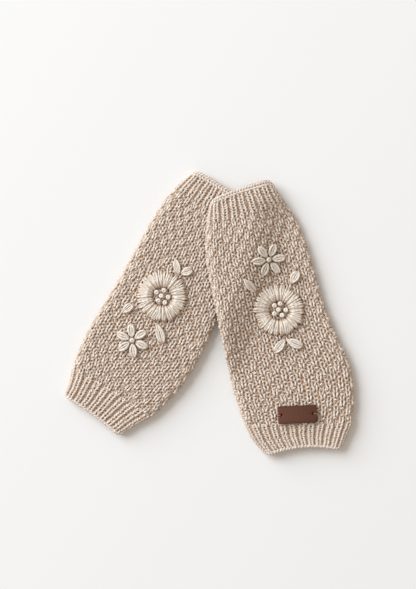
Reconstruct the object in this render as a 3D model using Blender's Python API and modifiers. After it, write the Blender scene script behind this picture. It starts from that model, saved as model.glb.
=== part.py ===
"""A pair of fingerless mittens, each a knitted tube, laid flat with the right one over the left.

Metres, +Z up. The origin is the middle of the pair's footprint, on the surface that it lies on.
Each mitten has an empty at the middle of its wrist hem: X runs across it, Y up to its finger edge.
"""

import math
from collections import namedtuple

import bmesh
import bpy
import numpy as np
from mathutils import Vector
from mathutils.bvhtree import BVHTree

# The knitted cloth
LAYER = 0.0040  # one layer of the knit
SIDE_ROUND = 0.0075  # how far in from a side the cloth has rounded over
SLIT_ROUND = 0.0035  # the same for the slit between the layers
CROWN = 0.06  # the share of its height that the upper layer loses towards a side
SEAM_GAP = 0.0003  # between the pieces, and under what lies on a panel
EDGE_SWELL = 0.0003  # how far the rolled edges stand above the cuffs
REST_GAP = EDGE_SWELL + SEAM_GAP  # the right mitten over the left one's cloth
DRAPE_RUN = 0.034  # the width of the slope where the right mitten comes down beside the left one
ABOVE = 0.1  # a height above all of the cloth

# The cuffs
WRIST_CUFF = 0.0230
FINGER_CUFF = 0.0205
RIB_DEPTH = 0.0013
WRIST_RIBS = 10
FINGER_RIBS = 9
CUFF_UNDERSIDE_POINTS = 12
CUFF_SLIT_RINGS = 4
CUFF_ROWS = (0.33, 0.67, 1.00)  # how far from the rolled edge to the seam each plain row lies
# Each row is a point of a rib's section: its share of the rib's width, and of the rib's depth.
RIB_SECTION = [(0.00, 1.0), (0.34, 0.0), (0.72, 0.0)]

# The tube between the cuffs
BODY_RINGS = 25
BODY_UPPER_POINTS = 26
BODY_UNDERSIDE_POINTS = 16
BODY_SLIT_RINGS = 9

# Each row is one course of the knitting: how far up it lies, where it meets the left and the right
# side, how far those two ends lie above that course, how far its middle arches, and the height of
# the flattened tube.
Course = namedtuple("Course", "up left right left_end right_end arch height")
LEFT_COURSES = [
    Course(0.000, -0.0275, 0.0278, 0.0030, -0.0035, 0.0020, 0.0086),
    Course(0.012, -0.0290, 0.0350, 0.0025, -0.0005, 0.0015, 0.0088),
    Course(0.025, -0.0325, 0.0428, 0.0020, 0.0000, 0.0010, 0.0093),
    Course(0.040, -0.0352, 0.0475, 0.0010, 0.0000, 0.0005, 0.0097),
    Course(0.060, -0.0364, 0.0515, 0.0000, 0.0000, 0.0000, 0.0099),
    Course(0.085, -0.0358, 0.0520, 0.0000, 0.0000, 0.0000, 0.0099),
    Course(0.110, -0.0353, 0.0497, 0.0000, 0.0000, 0.0000, 0.0098),
    Course(0.140, -0.0356, 0.0452, 0.0000, 0.0000, 0.0000, 0.0096),
    Course(0.165, -0.0355, 0.0405, 0.0000, 0.0000, 0.0000, 0.0095),
    Course(0.182, -0.0336, 0.0358, 0.0000, 0.0000, 0.0000, 0.0092),
    Course(0.196, -0.0302, 0.0305, 0.0000, 0.0000, 0.0000, 0.0088),
    Course(0.208, -0.0264, 0.0264, 0.0005, -0.0010, 0.0005, 0.0086),
]
RIGHT_COURSES = [
    Course(0.000, -0.0303, 0.0300, 0.0044, -0.0048, 0.0056, 0.0086),
    Course(0.012, -0.0371, 0.0362, 0.0072, -0.0076, 0.0032, 0.0089),
    Course(0.024, -0.0403, 0.0430, 0.0090, -0.0092, 0.0010, 0.0094),
    Course(0.040, -0.0420, 0.0494, 0.0060, -0.0065, 0.0000, 0.0098),
    Course(0.060, -0.0432, 0.0521, 0.0026, -0.0030, 0.0000, 0.0100),
    Course(0.085, -0.0430, 0.0474, 0.0005, -0.0005, 0.0000, 0.0099),
    Course(0.110, -0.0422, 0.0434, 0.0000, 0.0000, 0.0000, 0.0097),
    Course(0.140, -0.0410, 0.0424, 0.0000, 0.0000, 0.0000, 0.0096),
    Course(0.165, -0.0397, 0.0403, 0.0000, 0.0000, 0.0000, 0.0095),
    Course(0.182, -0.0362, 0.0374, 0.0000, 0.0005, 0.0000, 0.0092),
    Course(0.196, -0.0314, 0.0316, -0.0005, 0.0015, 0.0000, 0.0088),
    Course(0.212, -0.0268, 0.0262, -0.0025, 0.0035, 0.0008, 0.0086),
]

# A rolled edge: how far in from the edge, how far the outside swells there, and the share of the
# ribs' depth.
Roll = namedtuple("Roll", "inward swell ribs")
ROLLED_EDGE = [
    Roll(0.0000, -0.0014, 0.0),
    Roll(0.0009, 0.0000, 0.0),
    Roll(0.0024, EDGE_SWELL, 0.1),
    Roll(0.0040, -0.0003, 0.7),
    Roll(0.0058, 0.0000, 1.0),
]

# Where each mitten's wrist hem lies, and the way its finger edge leans
Place = namedtuple("Place", "x y turn")
LEFT_PLACE = Place(-0.09212, -0.08115, math.radians(-29.65))
RIGHT_PLACE = Place(0.07448, -0.11025, math.radians(13.64))

# The embroidery: a satin-stitched ring round six French knots, a small flower of six petals, and
# four leaves. Places are in each mitten's own frame, and turns are from its X.
RING_INNER = 0.0076
RING_OUTER = 0.0203
RING_STITCHES = 26
RING_SCALLOP = 0.0009
RING_GROOVE = 0.30
# Each row is a point of the ring's section: its share of the way out, and its height.
RING_SECTION = [(0.00, 0.0), (0.02, 0.0011), (0.34, 0.0026), (0.86, 0.0017), (1.00, 0.0)]
KNOT_RADIUS = 0.0020
KNOT_HEIGHT = 0.0026
KNOT_SIDES = 10
# Each row is a ring of the knot: its share of the radius, and of the height.
KNOT_SECTION = [(0.72, 0.00), (1.00, 0.42), (0.86, 0.78), (0.45, 1.00)]
PETALS = 6
PETAL_ROOT = 0.0026
PETAL_TIP = 0.0128
PETAL_WIDTH = 0.0056
PETAL_HEIGHT = 0.0018
LEAF_HEIGHT = 0.0018
LENS_POINTS = 12
LENS_SHARPNESS = 1.25  # 1 is an ellipse, and more draws the ends out to points
# Each row is a ring of the pad: its share of the outline, and of the height.
LENS_SECTION = [(0.45, 0.00), (0.94, 0.00), (1.00, 0.35), (0.78, 0.85), (0.35, 1.00)]

Leaf = namedtuple("Leaf", "root_x root_y tip_x tip_y width")
LEFT_FLOWER = (0.0019, 0.1093)
LEFT_SMALL_FLOWER = (-0.0013, 0.0681, math.radians(5))
LEFT_KNOTS = [
    (-0.0052, 0.0007), (-0.0009, 0.0048), (-0.0007, 0.0001),
    (0.0045, 0.0019), (-0.0008, -0.0043), (0.0044, -0.0030),
]
LEFT_LEAVES = [
    Leaf(-0.0185, 0.0833, -0.0151, 0.0927, 0.0064),
    Leaf(0.0049, 0.1306, -0.0033, 0.1391, 0.0054),
    Leaf(0.0061, 0.1319, 0.0118, 0.1389, 0.0066),
    Leaf(0.0097, 0.0885, 0.0199, 0.0783, 0.0070),
]
RIGHT_FLOWER = (0.0071, 0.1137)
RIGHT_SMALL_FLOWER = (0.0086, 0.1538, math.radians(-5))
RIGHT_KNOTS = [
    (-0.0026, 0.0046), (0.0021, 0.0049), (-0.0003, 0.0008),
    (0.0052, -0.0009), (-0.0040, -0.0016), (0.0014, -0.0041),
]
RIGHT_LEAVES = [
    Leaf(-0.0138, 0.1435, -0.0075, 0.1324, 0.0060),
    Leaf(0.0211, 0.1320, 0.0286, 0.1398, 0.0070),
    Leaf(0.0062, 0.0905, -0.0034, 0.0834, 0.0066),
    Leaf(0.0078, 0.0900, 0.0178, 0.0821, 0.0070),
]

# The leather label on the right mitten
LABEL_PLACE = (0.0018, 0.0320)
LABEL_TURN = math.radians(-10.6)
LABEL_LENGTH = 0.0303
LABEL_WIDTH = 0.0137
LABEL_THICKNESS = 0.0014
LABEL_CORNER = 0.0009
LABEL_CORNER_SEGMENTS = 3
LABEL_HOLE = 0.0015
LABEL_HOLE_FROM_END = 0.0027
LABEL_HOLE_SIDES = 12

COLOURS = {
    "oatmeal_wool": ((0.53, 0.43, 0.34, 1.0), 0.92),
    "cream_yarn": ((0.63, 0.53, 0.43, 1.0), 0.85),
    "brown_leather": ((0.14, 0.050, 0.032, 1.0), 0.55),
}


def clear_scene():
    for old in list(bpy.data.objects):
        bpy.data.objects.remove(old, do_unlink=True)


def material(name):
    """A material of its own for each object, in one of the three finishes."""
    colour, roughness = COLOURS[name]
    made = bpy.data.materials.new(name)
    made.use_nodes = True
    shader = made.node_tree.nodes["Principled BSDF"]
    shader.inputs["Base Color"].default_value = colour
    shader.inputs["Roughness"].default_value = roughness
    shader.inputs["Metallic"].default_value = 0.0
    return made


def along(table, up, column):
    """A column of a table at a height between its rows, on a smooth curve through them."""
    at = np.array([row[0] for row in table])
    values = np.array([getattr(row, column) for row in table])
    slopes = np.gradient(values, at)
    k = int(np.clip(np.searchsorted(at, up) - 1, 0, len(at) - 2))
    step = at[k + 1] - at[k]
    t = min(max((up - at[k]) / step, 0.0), 1.0)
    return float(
        (2 * t**3 - 3 * t**2 + 1) * values[k]
        + (t**3 - 2 * t**2 + t) * step * slopes[k]
        + (3 * t**2 - 2 * t**3) * values[k + 1]
        + (t**3 - t**2) * step * slopes[k + 1]
    )


def smooth_step(t):
    t = min(max(t, 0.0), 1.0)
    return t * t * (3 - 2 * t)


def rounding(inward, reach):
    """0 at a side and 1 from reach inward, along a quarter of an ellipse."""
    left = 1 - min(max(inward, 0.0), reach) / reach
    return math.sqrt(max(0.0, 1 - left * left))


class Mitten:
    """One flattened tube: its courses, its place, and what it lies on."""

    def __init__(self, side, courses, place, below=None):
        self.side = side
        self.courses = courses
        self.place = place
        self.below = below
        self.length = courses[-1].up
        self.frame = bpy.data.objects.new(side + "_mitten", None)
        self.frame.location = (place.x, place.y, 0.0)
        self.frame.rotation_euler = (0.0, 0.0, place.turn)

    def half(self, up):
        return (along(self.courses, up, "right") - along(self.courses, up, "left")) / 2

    def height(self, up):
        return along(self.courses, up, "height")

    def spot(self, up, across):
        """The X and Y of a point on a course, with across from -1 at the left to 1 at the right."""
        left, right = (along(self.courses, up, c) for c in ("left", "right"))
        left_end, right_end = (along(self.courses, up, c) for c in ("left_end", "right_end"))
        share = (across + 1) / 2
        x = left + (right - left) * share
        y = up + left_end + (right_end - left_end) * share
        return x, y + along(self.courses, up, "arch") * (1 - across * across)

    def to_world(self, x, y):
        c, s = math.cos(self.place.turn), math.sin(self.place.turn)
        return self.place.x + c * x - s * y, self.place.y + s * x + c * y

    def from_world(self, x, y):
        c, s = math.cos(self.place.turn), math.sin(self.place.turn)
        dx, dy = x - self.place.x, y - self.place.y
        return c * dx + s * dy, c * dy - s * dx

    def lift(self, x, y):
        """How high the cloth lies above the surface, over the mitten below it."""
        if self.below is None:
            return 0.0
        lower = self.below
        bx, by = lower.from_world(*self.to_world(x, y))
        up = min(max(by, 0.0), lower.length)
        in_side = along(lower.courses, up, "right") - bx
        in_end = lower.length - by
        inside = min(in_side, in_end)
        if in_side < 0 and in_end < 0:
            inside = -math.hypot(in_side, in_end)
        slope = smooth_step((inside + DRAPE_RUN) / DRAPE_RUN)
        return slope * (lower.height(up) + REST_GAP)

    def outer(self, up, across, upper, swell=0.0, groove=0.0):
        """A point of the outside: swell moves it out, and groove cuts it down in the upper layer."""
        x, y = self.spot(up, across)
        half, high = self.half(up), self.height(up)
        rise = rounding(half * (1 - abs(across)), SIDE_ROUND)
        z = high / 2 * (1 - rise)
        if upper:
            crowned = rise * (1 - CROWN * across * across)
            z = high / 2 * (1 + crowned) + (swell - groove) * rise
        return x, y, z + self.lift(x, y)

    def slit(self, up, across, upper):
        """A point of the slit between the two layers."""
        half, high = self.half(up), self.height(up)
        shrink = (half - LAYER) / half
        x, y = self.spot(up, across * shrink)
        rise = rounding((half - LAYER) * (1 - abs(across)), SLIT_ROUND)
        reach = (high / 2 - LAYER) * rise
        z = high / 2 + (reach if upper else -reach)
        return x, y, z + self.lift(x, y)

    def keep_cloth(self, pieces):
        """The cloth that is in place, which top() reads."""
        self.cloth = [BVHTree.FromPolygons([v.co for v in piece.data.vertices],
                                           [tuple(f.vertices) for f in piece.data.polygons])
                      for piece in pieces]

    def top(self, x, y):
        """The height of the cloth's upper face at a point of the mitten's own frame, or beside it
        where the point is over a seam's gap."""
        hits = [tree.ray_cast(Vector((x, y + aside, ABOVE)), Vector((0, 0, -1)))[0]
                for tree in self.cloth for aside in (0.0, 2 * SEAM_GAP)]
        return max(hit.z for hit in hits if hit is not None)


def crowded(count):
    """Places across a course, closer together towards both sides, where the cloth turns over."""
    return [math.sin(math.pi * (k / count - 0.5)) for k in range(count + 1)]


def ribbed(ribs):
    """Places across a cuff, and the depth there: a purl groove, then the two edges of a knit rib."""
    places = [(-1.0, 0.0)]
    for rib in range(ribs):
        for share, depth in RIB_SECTION:
            if rib or share:
                places.append((-1 + 2 * (rib + share) / ribs, depth))
    places.append((1.0, 0.0))
    return places


def loft(name, rings, closed, owner, finish):
    """One closed body through rings of the same number of points. Closed joins the last ring to
    the first, and otherwise both end rings are filled with a face."""
    mesh = bpy.data.meshes.new(name)
    bm = bmesh.new()
    rows = [[bm.verts.new(p) for p in ring] for ring in rings]
    count = len(rows)
    for k in range(count if closed else count - 1):
        one, two = rows[k], rows[(k + 1) % count]
        for i in range(len(one)):
            j = (i + 1) % len(one)
            bm.faces.new((one[i], one[j], two[j], two[i]))
    if not closed:
        bm.faces.new(rows[0])
        bm.faces.new(list(reversed(rows[-1])))
    bmesh.ops.triangulate(bm, faces=bm.faces)
    bmesh.ops.recalc_face_normals(bm, faces=bm.faces)
    bm.to_mesh(mesh)
    bm.free()
    mesh.shade_smooth()
    mesh.materials.append(material(finish))
    made = bpy.data.objects.new(name, mesh)
    made.parent = owner.frame
    return made


def tube(mitten, name, outside, ups, slit_ups, points):
    """A flattened tube wall: its outside, and back through the slit between its two layers.

    Outside gives a point for a course and one of the points, and the underside's points follow
    the upper layer's."""
    places, under = points
    rings = [[outside(up, p, True) for p in places] + [outside(up, p, False) for p in under]
             for up in ups]
    for up in slit_ups:
        ring = [mitten.slit(up, p[0], True) for p in places]
        ring += [mitten.slit(up, p[0], False) for p in under]
        rings.append(ring)
    return loft(name, rings, True, mitten, "oatmeal_wool")


def body(mitten):
    low = WRIST_CUFF + SEAM_GAP / 2
    high = mitten.length - FINGER_CUFF - SEAM_GAP / 2
    places = [(p, 0.0) for p in crowded(BODY_UPPER_POINTS)]
    under = [(p, 0.0) for p in reversed(crowded(BODY_UNDERSIDE_POINTS)[1:-1])]

    def outside(up, place, upper):
        return mitten.outer(up, place[0], upper)

    ups = np.linspace(low, high, BODY_RINGS)
    slit_ups = np.linspace(high, low, BODY_SLIT_RINGS)
    return tube(mitten, mitten.side + "_body", outside, ups, slit_ups, (places, under))


def cuff(mitten, name, edge, seam, ribs):
    """A ribbed cuff from its rolled edge to the seam with the body."""
    inward = math.copysign(1.0, seam - edge)
    rows = list(ROLLED_EDGE)
    length = abs(seam - edge)
    last = rows[-1].inward
    rows += [Roll(last + (length - last) * share, 0.0, 1.0) for share in CUFF_ROWS]
    rolls = {edge + inward * row.inward: row for row in rows}
    places = ribbed(ribs)
    under = [(p, 0.0) for p in reversed(crowded(CUFF_UNDERSIDE_POINTS)[1:-1])]

    def outside(up, place, upper):
        roll = rolls[up]
        return mitten.outer(up, place[0], upper, roll.swell, RIB_DEPTH * roll.ribs * place[1])

    slit_ups = np.linspace(seam, edge, CUFF_SLIT_RINGS)
    return tube(mitten, name, outside, list(rolls), slit_ups, (places, under))


def on_panel(mitten, x, y, height):
    """A point above the upper layer, with the gap that a piece on it keeps."""
    return x, y, mitten.top(x, y) + SEAM_GAP + height


def flower_ring(mitten, centre):
    """The satin-stitched ring: one lobe for each bundle of long stitches."""
    rings = []
    count = RING_STITCHES * 2
    section = RING_SECTION + [(0.5, 0.0)]
    for k in range(count):
        turn = math.tau * k / count
        groove = k % 2
        ring = []
        for share, height in section:
            outer = RING_OUTER - RING_SCALLOP * groove
            radius = RING_INNER + (outer - RING_INNER) * share
            x = centre[0] + radius * math.cos(turn)
            y = centre[1] + radius * math.sin(turn)
            ring.append(on_panel(mitten, x, y, height * (1 - RING_GROOVE * groove)))
        rings.append(ring)
    return loft(mitten.side + "_flower_ring", rings, True, mitten, "cream_yarn")


def knot(mitten, name, x, y):
    """A French knot: a bead of wound yarn, a little narrower where it meets the panel."""
    rings = []
    for width, share in KNOT_SECTION:
        ring = []
        for k in range(KNOT_SIDES):
            turn = math.tau * k / KNOT_SIDES
            px = x + KNOT_RADIUS * width * math.cos(turn)
            py = y + KNOT_RADIUS * width * math.sin(turn)
            ring.append(on_panel(mitten, px, py, KNOT_HEIGHT * share))
        rings.append(ring)
    return loft(name, rings, False, mitten, "cream_yarn")


def lens(mitten, name, root, tip, width, height):
    """A pointed pad of straight stitches, from its root to its tip."""
    middle = ((root[0] + tip[0]) / 2, (root[1] + tip[1]) / 2)
    long_way = (tip[0] - middle[0], tip[1] - middle[1])
    reach = math.hypot(*long_way)
    across = (-long_way[1] / reach * width / 2, long_way[0] / reach * width / 2)
    rings = []
    for size, share in LENS_SECTION:
        ring = []
        for k in range(LENS_POINTS):
            turn = math.tau * k / LENS_POINTS
            forward = math.cos(turn) * size
            sideways = math.copysign(abs(math.sin(turn)) ** LENS_SHARPNESS, math.sin(turn)) * size
            x = middle[0] + long_way[0] * forward + across[0] * sideways
            y = middle[1] + long_way[1] * forward + across[1] * sideways
            ring.append(on_panel(mitten, x, y, height * share))
        rings.append(ring)
    return loft(name, rings, False, mitten, "cream_yarn")


def small_flower(mitten, place):
    x, y, turn = place
    made = []
    for k in range(PETALS):
        way = turn + math.tau * k / PETALS
        ends = [(x + r * math.cos(way), y + r * math.sin(way)) for r in (PETAL_ROOT, PETAL_TIP)]
        name = f"{mitten.side}_petal_{k + 1}"
        made.append(lens(mitten, name, *ends, PETAL_WIDTH, PETAL_HEIGHT))
    made.append(knot(mitten, mitten.side + "_petal_knot", x, y))
    return made


def embroidery(mitten, flower, knots, small, leaves):
    made = [flower_ring(mitten, flower)]
    for k, (x, y) in enumerate(knots):
        name = f"{mitten.side}_flower_knot_{k + 1}"
        made.append(knot(mitten, name, flower[0] + x, flower[1] + y))
    made += small_flower(mitten, small)
    for k, leaf in enumerate(leaves):
        ends = (leaf.root_x, leaf.root_y), (leaf.tip_x, leaf.tip_y)
        made.append(lens(mitten, f"{mitten.side}_leaf_{k + 1}", *ends, leaf.width, LEAF_HEIGHT))
    return made


def label(mitten, parts, cutters):
    """The leather label: a plate with rounded corners and a hole near each end."""
    corners = []
    c, s = math.cos(LABEL_TURN), math.sin(LABEL_TURN)
    for x in (-LABEL_LENGTH / 2, 0.0, LABEL_LENGTH / 2):
        for y in (-LABEL_WIDTH / 2, 0.0, LABEL_WIDTH / 2):
            px, py = LABEL_PLACE[0] + c * x - s * y, LABEL_PLACE[1] + s * x + c * y
            corners.append(mitten.top(px, py))
    floor = max(corners) + SEAM_GAP
    bpy.ops.mesh.primitive_cube_add(size=1.0)
    made = bpy.context.object
    made.name = made.data.name = mitten.side + "_label"
    for v in made.data.vertices:
        v.co.x *= LABEL_LENGTH
        v.co.y *= LABEL_WIDTH
        v.co.z *= LABEL_THICKNESS
    made.location = (*LABEL_PLACE, floor + LABEL_THICKNESS / 2)
    made.rotation_euler = (0.0, 0.0, LABEL_TURN)
    made.parent = mitten.frame
    made.data.materials.append(material("brown_leather"))
    corner = made.modifiers.new("rounded corners", "BEVEL")
    corner.width = LABEL_CORNER
    corner.segments = LABEL_CORNER_SEGMENTS
    corner.limit_method = "WEIGHT"
    weights = made.data.attributes.new("bevel_weight_edge", "FLOAT", "EDGE")
    for edge in made.data.edges:
        ends = [made.data.vertices[v].co for v in edge.vertices]
        weights.data[edge.index].value = float(abs(ends[0].z - ends[1].z) > LABEL_THICKNESS / 2)
    for way in (-1, 1):
        bpy.ops.mesh.primitive_cylinder_add(
            vertices=LABEL_HOLE_SIDES, radius=LABEL_HOLE / 2, depth=LABEL_THICKNESS * 3
        )
        cutter = bpy.context.object
        cutter.name = "label_hole_right" if way > 0 else "label_hole_left"
        cutter.location = (way * (LABEL_LENGTH / 2 - LABEL_HOLE_FROM_END), 0.0, 0.0)
        cutter.parent = made
        cutter.hide_render = True
        cutter.display_type = "WIRE"
        move_to(cutter, cutters)
        hole = made.modifiers.new(cutter.name, "BOOLEAN")
        hole.operation = "DIFFERENCE"
        hole.object = cutter
    move_to(made, parts)


def move_to(thing, collection):
    for old in list(thing.users_collection):
        old.objects.unlink(thing)
    collection.objects.link(thing)


def main():
    clear_scene()
    parts = bpy.data.collections.new("pair_of_fingerless_mittens")
    cutters = bpy.data.collections.new("cutters")
    bpy.context.scene.collection.children.link(parts)
    bpy.context.scene.collection.children.link(cutters)

    left = Mitten("left", LEFT_COURSES, LEFT_PLACE)
    right = Mitten("right", RIGHT_COURSES, RIGHT_PLACE, below=left)
    for mitten in (left, right):
        parts.objects.link(mitten.frame)
        wrist_seam = WRIST_CUFF - SEAM_GAP / 2
        finger_seam = mitten.length - FINGER_CUFF + SEAM_GAP / 2
        wrist, finger = mitten.side + "_wrist_cuff", mitten.side + "_finger_cuff"
        made = [
            body(mitten),
            cuff(mitten, wrist, 0.0, wrist_seam, WRIST_RIBS),
            cuff(mitten, finger, mitten.length, finger_seam, FINGER_RIBS),
        ]
        mitten.keep_cloth(made)
        if mitten is left:
            made += embroidery(left, LEFT_FLOWER, LEFT_KNOTS, LEFT_SMALL_FLOWER, LEFT_LEAVES)
        else:
            made += embroidery(right, RIGHT_FLOWER, RIGHT_KNOTS, RIGHT_SMALL_FLOWER, RIGHT_LEAVES)
        for thing in made:
            parts.objects.link(thing)
    label(right, parts, cutters)
    bpy.context.view_layer.update()


main()
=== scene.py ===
"""Looks of the pair of fingerless mittens: every stitch, the embroidery, the label, floor and light.

Metres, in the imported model's frame. Both mittens lie flat, and the right one lies over the left.
"""

import math
from collections import namedtuple

import bpy
import numpy as np
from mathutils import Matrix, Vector


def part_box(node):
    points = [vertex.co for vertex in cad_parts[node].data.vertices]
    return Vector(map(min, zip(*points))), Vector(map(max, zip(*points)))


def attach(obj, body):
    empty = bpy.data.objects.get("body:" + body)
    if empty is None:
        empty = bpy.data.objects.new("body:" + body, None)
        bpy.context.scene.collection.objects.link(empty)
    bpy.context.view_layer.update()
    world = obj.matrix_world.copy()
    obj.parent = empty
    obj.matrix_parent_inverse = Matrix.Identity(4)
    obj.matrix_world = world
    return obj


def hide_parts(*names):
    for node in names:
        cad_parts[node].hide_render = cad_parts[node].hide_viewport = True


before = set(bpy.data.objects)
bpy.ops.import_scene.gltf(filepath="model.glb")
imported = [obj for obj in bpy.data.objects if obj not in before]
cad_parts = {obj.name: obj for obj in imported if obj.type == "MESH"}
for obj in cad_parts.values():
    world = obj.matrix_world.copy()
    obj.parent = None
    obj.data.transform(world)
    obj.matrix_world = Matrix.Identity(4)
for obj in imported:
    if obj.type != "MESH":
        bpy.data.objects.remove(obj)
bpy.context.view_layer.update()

# The knitted cloth, as in the solids
SIDE_ROUND = 0.0075  # how far in from its sides the flattened tube is rounded
CROWN = 0.06  # how much lower it gets towards them, as a share
SEAM_GAP = 0.0003
EDGE_SWELL = 0.0003
REST_GAP = EDGE_SWELL + SEAM_GAP  # between the two mittens
DRAPE_RUN = 0.034  # how far out from the left mitten the right one comes down to the floor
WRIST_CUFF = 0.0230  # the cuffs' lengths
FINGER_CUFF = 0.0205
CORNER_REACH = 0.0085  # how far in from a side the ends' corners round off,
FINGER_CORNER = 0.0040  # and by how much
WRIST_CORNER = 0.0024

# Each row is a course of the knitting: how far up it lies, its left and right ends, how far those
# ends lie above it, how far its middle arches, and the height of the flattened tube.
Course = namedtuple("Course", "up left right left_end right_end arch height")
LEFT_COURSES = [
    Course(0.000, -0.0275, 0.0278, 0.0030, -0.0035, 0.0020, 0.0086),
    Course(0.012, -0.0290, 0.0350, 0.0025, -0.0005, 0.0015, 0.0088),
    Course(0.025, -0.0325, 0.0428, 0.0020, 0.0000, 0.0010, 0.0093),
    Course(0.040, -0.0352, 0.0475, 0.0010, 0.0000, 0.0005, 0.0097),
    Course(0.060, -0.0364, 0.0515, 0.0000, 0.0000, 0.0000, 0.0099),
    Course(0.085, -0.0358, 0.0520, 0.0000, 0.0000, 0.0000, 0.0099),
    Course(0.110, -0.0353, 0.0497, 0.0000, 0.0000, 0.0000, 0.0098),
    Course(0.140, -0.0356, 0.0452, 0.0000, 0.0000, 0.0000, 0.0096),
    Course(0.165, -0.0355, 0.0405, 0.0000, 0.0000, 0.0000, 0.0095),
    Course(0.182, -0.0336, 0.0358, 0.0000, 0.0000, 0.0000, 0.0092),
    Course(0.196, -0.0302, 0.0305, 0.0000, 0.0000, 0.0000, 0.0088),
    Course(0.208, -0.0264, 0.0264, 0.0005, -0.0010, 0.0005, 0.0086),
]
RIGHT_COURSES = [
    Course(0.000, -0.0303, 0.0300, 0.0044, -0.0048, 0.0056, 0.0086),
    Course(0.012, -0.0371, 0.0362, 0.0072, -0.0076, 0.0032, 0.0089),
    Course(0.024, -0.0403, 0.0430, 0.0090, -0.0092, 0.0010, 0.0094),
    Course(0.040, -0.0420, 0.0494, 0.0060, -0.0065, 0.0000, 0.0098),
    Course(0.060, -0.0432, 0.0521, 0.0026, -0.0030, 0.0000, 0.0100),
    Course(0.085, -0.0430, 0.0474, 0.0005, -0.0005, 0.0000, 0.0099),
    Course(0.110, -0.0422, 0.0434, 0.0000, 0.0000, 0.0000, 0.0097),
    Course(0.140, -0.0410, 0.0424, 0.0000, 0.0000, 0.0000, 0.0096),
    Course(0.165, -0.0397, 0.0403, 0.0000, 0.0000, 0.0000, 0.0095),
    Course(0.182, -0.0362, 0.0374, 0.0000, 0.0005, 0.0000, 0.0092),
    Course(0.196, -0.0314, 0.0316, -0.0005, 0.0015, 0.0000, 0.0088),
    Course(0.212, -0.0268, 0.0262, -0.0025, 0.0035, 0.0008, 0.0086),
]
Place = namedtuple("Place", "x y turn")
LEFT_PLACE = Place(-0.09212, -0.08115, math.radians(-29.65))
RIGHT_PLACE = Place(0.07448, -0.11025, math.radians(13.64))

# How much painted shade the yarn's colour gets, at depths below the top of the work: 0 on top, 1
# deep down, and more in the grooves between the ribs, which are painted brownest
DEPTHS = (0.0003, 0.0008, 0.0018, 0.0042, 0.0060)
SHADE_SHARES = (0.0, 0.6, 1.0, 1.0, 1.4)
SIDE_PAINTED_SHADE = 0.0005  # how much deeper the yarn counts for its painted shade on the sides of the tube,
RIB_PAINTED_SHADE = 0.0002  # in the cuffs,
GROOVE_PAINTED_SHADE = 0.0046  # and besides in the ribs' sunken columns

# The stitches
Knit = namedtuple("Knit", "wrist_stitches body_stitches finger_stitches wrist_rows body_rows finger_rows")
LEFT_KNIT = Knit(40, 38, 40, 11, 54, 8)
RIGHT_KNIT = Knit(48, 38, 36, 11, 54, 8)
FIRST_ROW_IN = 0.0012  # how far in from the wrist hem the first row starts,
LAST_ROW_IN = 0.0046  # and from the finger edge the last one ends
YARN = 0.00088  # the yarn's radius
RIB_YARN = 0.00086
PURL_YARN = 0.00070  # in a rib's sunken purl columns
YARN_UNEVEN = 0.04  # how much the radius varies, as a share
FRONT_DEPTH = 0.00108  # the yarn's middle below the outside, where it crosses in front
BACK_DEPTH = 0.00285  # and where it crosses behind
PURL_FRONT_DEPTH = 0.00235  # the same two in a rib's purl columns
PURL_BACK_DEPTH = 0.00285
PURL_SINKS = 1.6  # how fast a purl column sinks from its sides
FRONT_STEPS, FRONT_SIDES = 12, 6  # along a loop and round its yarn, on the upper layer
BACK_STEPS, BACK_SIDES = 10, 4  # and on the lower one
RIB_KNIT_SHARE = 0.67  # the share of a rib's two stitches that its knit one takes
UNEVEN = 0.14  # how far a stitch strays, in stitches and rows
SEED = 7

# The inner side, whose brown is painted shade for the holes between the stitches: how far below the
# outside and how far in from the ends it lies
BODY_CLOTH_DEPTH = 0.0030
CUFF_CLOTH_DEPTH = 0.0029
CLOTH_THICKNESS = 0.0006
CLOTH_FROM_WRIST = 0.0022
CLOTH_FROM_FINGER = 0.0034
CLOTH_UPS = 64
CLOTH_TURNS = 112

# Double moss stitch repeats over four rows: two knit ones and two purl ones. These say how far in
# front each one's legs lie, and how far behind its head, which the next row's stitch holds.
MOSS_LEGS = (1.0, 0.45, -0.95, -0.8)
MOSS_HEADS = (0.8, -0.6, -1.0, 0.6)
RIB_HEADS = (-1.0, -3.0)  # the heads of a rib's knit and purl columns, which come forward

# One knitted loop, from the middle of one sinker to the next: across in stitches, up in rows, and
# how far in front it lies: by its legs, by its head, and in any case.
Bend = namedtuple("Bend", "across up legs head front")
MOSS_LOOP = [
    Bend(-0.50, -0.14, 0.0, 0.0, -1.0),
    Bend(-0.16, 0.00, 0.30, 0.0, -0.05),
    Bend(-0.22, 0.45, 1.0, 0.0, 0.0),
    Bend(-0.32, 0.88, 0.40, 0.05, -0.20),
    Bend(-0.22, 1.24, 0.0, 0.0, -0.80),
    Bend(0.00, 1.36, 0.0, -1.0, 0.0),
    Bend(0.22, 1.24, 0.0, 0.0, -0.80),
    Bend(0.32, 0.88, 0.40, 0.05, -0.20),
    Bend(0.22, 0.45, 1.0, 0.0, 0.0),
    Bend(0.16, 0.00, 0.30, 0.0, -0.05),
]
RIB_LOOP = [
    Bend(-0.50, -0.10, 0.1, 0.0, 0.0),
    Bend(-0.25, -0.02, 0.40, 0.0, 0.0),
    Bend(-0.28, 0.38, 1.0, 0.0, 0.0),
    Bend(-0.34, 0.75, 0.80, 0.0, 0.0),
    Bend(-0.37, 1.10, 0.10, -0.15, 0.0),
    Bend(-0.20, 1.36, 0.0, -0.20, 0.0),
    Bend(0.00, 1.44, 0.0, -0.20, 0.0),
    Bend(0.20, 1.36, 0.0, -0.20, 0.0),
    Bend(0.37, 1.10, 0.10, -0.15, 0.0),
    Bend(0.34, 0.75, 0.80, 0.0, 0.0),
    Bend(0.28, 0.38, 1.0, 0.0, 0.0),
    Bend(0.25, -0.02, 0.40, 0.0, 0.0),
]

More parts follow.
